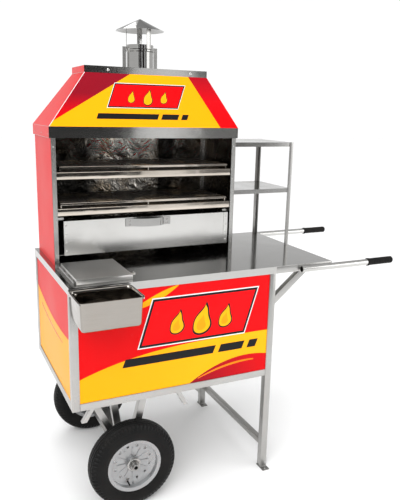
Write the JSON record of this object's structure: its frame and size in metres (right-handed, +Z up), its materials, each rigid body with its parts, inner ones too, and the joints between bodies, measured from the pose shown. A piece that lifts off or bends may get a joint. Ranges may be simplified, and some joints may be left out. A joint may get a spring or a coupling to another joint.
{
  "type": "push vending cart",
  "caption": "Push cart for roasting and selling food: steel cabinet on wheels and legs, roasting cabinet with hood and chimney, side rack and push handles.",
  "frame": {"origin": "centre of the bounding box's footprint, on the floor", "axes": "+X towards the push handles, -Y towards the serving side with the drawer and the hanging pan, +Z up"},
  "size_m": [1.663, 0.882, 1.969],
  "materials": {
    "frame_steel": "ground square tube",
    "sheet_steel": "brushed stainless sheet",
    "inner_steel": "heat-stained sheet",
    "grate_steel": "sooty expanded sheet",
    "angle_steel": "angle iron, satin",
    "axle_steel": "machined steel",
    "wheel_steel": "silver enamel",
    "printed_red": "glossy printed sheet, red and yellow",
    "printed_hood": "glossy printed sheet, yellow with red ends",
    "polished_steel": "polished stainless",
    "tyre": "black, dusty",
    "grip": "ribbed, matte"
  },
  "bodies": {
    "cart": {"left_posts": "frame_steel", "right_legs": "frame_steel", "foot_plates": "axle_steel", "bottom_rails": "frame_steel", "cross_rails": "frame_steel", "top_rails": "frame_steel", "extension_arms": "frame_steel", "leg_tie_bar": "frame_steel", "rear_brace": "frame_steel", "axle_struts": "frame_steel", "axle_beam": "axle_steel", "stub_axles": "axle_steel", "axle_collars": "axle_steel", "frame_stubs": "frame_steel", "handle_tubes": "polished_steel", "handle_grips": "grip", "handle_braces": "frame_steel", "worktop": "sheet_steel", "worktop_extension": "sheet_steel", "front_panel": "printed_red", "left_panel": "printed_red", "right_panel": "sheet_steel", "cabinet_floor": "inner_steel", "well_box": "inner_steel", "lid_hinge_leaf": "angle_steel", "lid_hinge_pin": "axle_steel", "pan_hanger": "sheet_steel", "door_hinge_leaves": "angle_steel", "door_hinge_pins": "axle_steel", "roaster_left_side": "printed_red", "roaster_right_side": "inner_steel", "roaster_back": "inner_steel", "roaster_uprights": "frame_steel", "fascia_band": "sheet_steel", "hood_shell": "printed_hood", "hood_cap": "sheet_steel", "dome_screws": "polished_steel", "chimney_pipe": "polished_steel", "chimney_brackets": "angle_steel", "cap_straps": "angle_steel", "chimney_cap": "polished_steel", "runners": "angle_steel", "rack_posts": "angle_steel", "rack_shelves": "sheet_steel"},
    "front_wheel": {"tyre_front": "tyre", "wheel_front": "wheel_steel"},
    "rear_wheel": {"tyre_rear": "tyre", "wheel_rear": "wheel_steel"},
    "drawer": {"drawer_box": "inner_steel", "drawer_front": "sheet_steel", "drawer_handle": "polished_steel"},
    "upper_tray": {"upper_grate": "grate_steel"},
    "lower_tray": {"lower_grate": "grate_steel"},
    "lid": {"well_lid": "sheet_steel", "lid_hinge_knuckles": "angle_steel"},
    "pan": {"front_pan": "polished_steel"},
    "door": {"rear_door": "sheet_steel", "door_hinge_knuckles": "angle_steel", "door_pull": "polished_steel"}
  },
  "joints": [
    {"name": "front_wheel_spin", "type": "hinge", "parent": "cart", "child": "front_wheel", "pos_m": [-0.5825, -0.263, 0.184], "axis": [0, 1, 0], "continuous": true},
    {"name": "rear_wheel_spin", "type": "hinge", "parent": "cart", "child": "rear_wheel", "pos_m": [-0.5825, 0.391, 0.184], "axis": [0, 1, 0], "continuous": true},
    {"name": "drawer_slide", "type": "slide", "parent": "cart", "child": "drawer", "axis": [0, -1, 0], "range_m": [0, 0.25]},
    {"name": "upper_tray_slide", "type": "slide", "parent": "cart", "child": "upper_tray", "axis": [0, -1, 0], "range_m": [0, 0.24]},
    {"name": "lower_tray_slide", "type": "slide", "parent": "cart", "child": "lower_tray", "axis": [0, -1, 0], "range_m": [0, 0.24]},
    {"name": "lid_hinge", "type": "hinge", "parent": "cart", "child": "lid", "pos_m": [-0.7965, -0.116, 0.9655], "axis": [0, -1, 0], "range_deg": [0, 100]},
    {"name": "pan_lift", "type": "slide", "parent": "cart", "child": "pan", "axis": [0, 0, 1], "range_m": [0, 0.12]},
    {"name": "door_hinge", "type": "hinge", "parent": "cart", "child": "door", "pos_m": [-0.8145, 0.412, 0.7], "axis": [0, 0, 1], "range_deg": [0, 110]}
  ]
}
